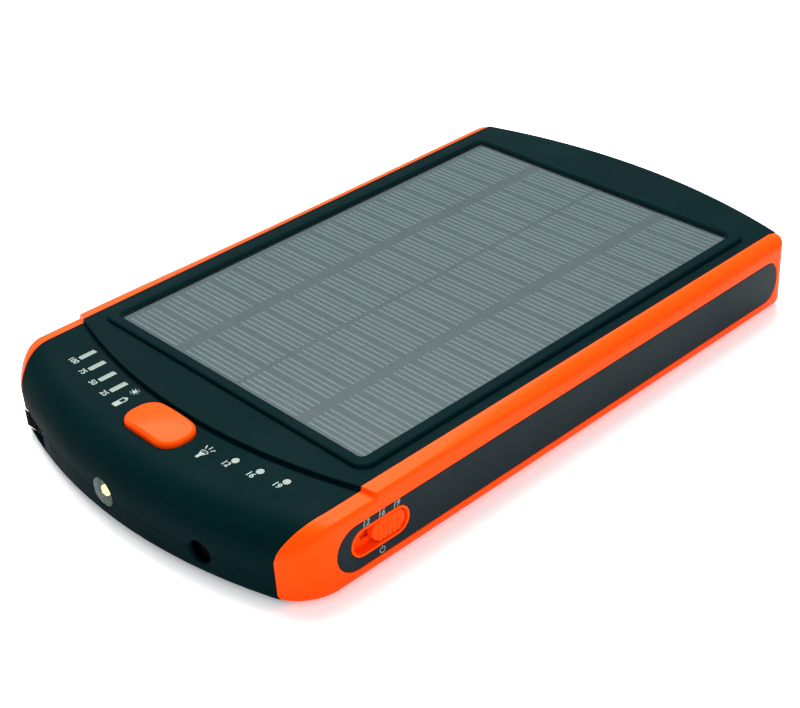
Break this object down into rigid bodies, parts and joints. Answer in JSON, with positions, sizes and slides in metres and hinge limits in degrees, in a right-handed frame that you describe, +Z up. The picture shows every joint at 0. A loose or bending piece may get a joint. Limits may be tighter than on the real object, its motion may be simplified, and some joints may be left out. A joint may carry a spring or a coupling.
{
  "type": "solar power bank",
  "caption": "Slab-shaped solar power bank: black shell with orange side frames, framed solar panel, domed button, voltage slide switch, torch, USB and DC outlets.",
  "frame": {"origin": "on the ground plane under the middle of the slab", "axes": "+Y from the outlet end to the far end, +X to the side with the voltage selector, +Z up out of the panel"},
  "size_m": [0.119, 0.2013, 0.0234],
  "materials": {
    "soft_touch_black": "soft-touch paint, fine grain",
    "orange_gloss": "glossy moulded plastic",
    "orange_satin": "satin moulded plastic",
    "inlay_black": "fine grained",
    "clear_sheet": "clear laminate",
    "clear_lens": "clear moulded",
    "silicon_cell": "grey-green cell strips with printed fingers",
    "circuit_board": "solder mask",
    "tape": "double-sided tape",
    "foam": "closed cell foam",
    "lead_insulation": "insulated wire",
    "black_plastic": "moulded",
    "white_plastic": "moulded",
    "light_pipe": "translucent",
    "bright_metal": "plated",
    "dark_steel": "blackened",
    "mirror_metal": "plated reflector",
    "gold_contact": "gold flashed",
    "lamp_chip": "phosphor",
    "ferrite": "moulded ferrite",
    "capacitor_sleeve": "sleeve",
    "pouch_foil": "laminated pouch foil",
    "foot_rubber": "matt rubber"
  },
  "bodies": {
    "chassis": {"top_cover": "soft_touch_black", "bottom_cover": "soft_touch_black", "side_frame_left": "orange_gloss", "side_frame_right": "orange_gloss", "side_inlay_left": "inlay_black", "side_inlay_right": "inlay_black", "panel_sheet": "clear_sheet", "solar_cells": "silicon_cell", "panel_board": "circuit_board", "panel_tape": "tape", "panel_leads": "lead_insulation", "push_switch_body": "black_plastic", "battery_light_pipes": "light_pipe", "voltage_light_pipes": "light_pipe", "indicator_lamps": "white_plastic", "slide_switch_body": "bright_metal", "torch_lens": "clear_lens", "torch_reflector": "mirror_metal", "torch_chip": "lamp_chip", "torch_leads": "bright_metal", "usb_shell": "bright_metal", "usb_tongue": "white_plastic", "usb_contacts": "gold_contact", "dc_housing": "black_plastic", "dc_centre_pin": "bright_metal", "dc_spring_contact": "bright_metal", "main_board": "circuit_board", "power_inductors": "ferrite", "filter_capacitors": "capacitor_sleeve", "controller_chips": "black_plastic", "battery_socket": "white_plastic", "battery_plug": "white_plastic", "battery_leads": "lead_insulation", "protection_board": "circuit_board", "battery_cells": "pouch_foil", "cell_tape": "tape", "foam_pads": "foam", "case_screws": "dark_steel", "board_screws": "bright_metal", "rubber_feet": "foot_rubber"},
    "power_button": {"power_button": "orange_satin"},
    "switch_plunger": {"push_switch_plunger": "white_plastic"},
    "selector_knob": {"slide_knob": "orange_satin"},
    "selector_lever": {"slide_switch_lever": "black_plastic"}
  },
  "joints": [
    {"name": "button_press", "type": "slide", "parent": "chassis", "child": "power_button", "axis": [0, 0, -1], "range_m": [0, 0.0005], "stiffness_N_per_m": 1000},
    {"name": "plunger_press", "type": "slide", "parent": "chassis", "child": "switch_plunger", "axis": [0, 0, -1], "range_m": [0, 0.0005]},
    {"name": "knob_slide", "type": "slide", "parent": "chassis", "child": "selector_knob", "axis": [0, 1, 0], "range_m": [-0.0045, 0]},
    {"name": "lever_slide", "type": "slide", "parent": "chassis", "child": "selector_lever", "axis": [0, 1, 0], "range_m": [-0.0045, 0]}
  ],
  "couplings": [
    {"joint": "plunger_press", "follows": "button_press", "ratio": 1},
    {"joint": "lever_slide", "follows": "knob_slide", "ratio": 1}
  ]
}
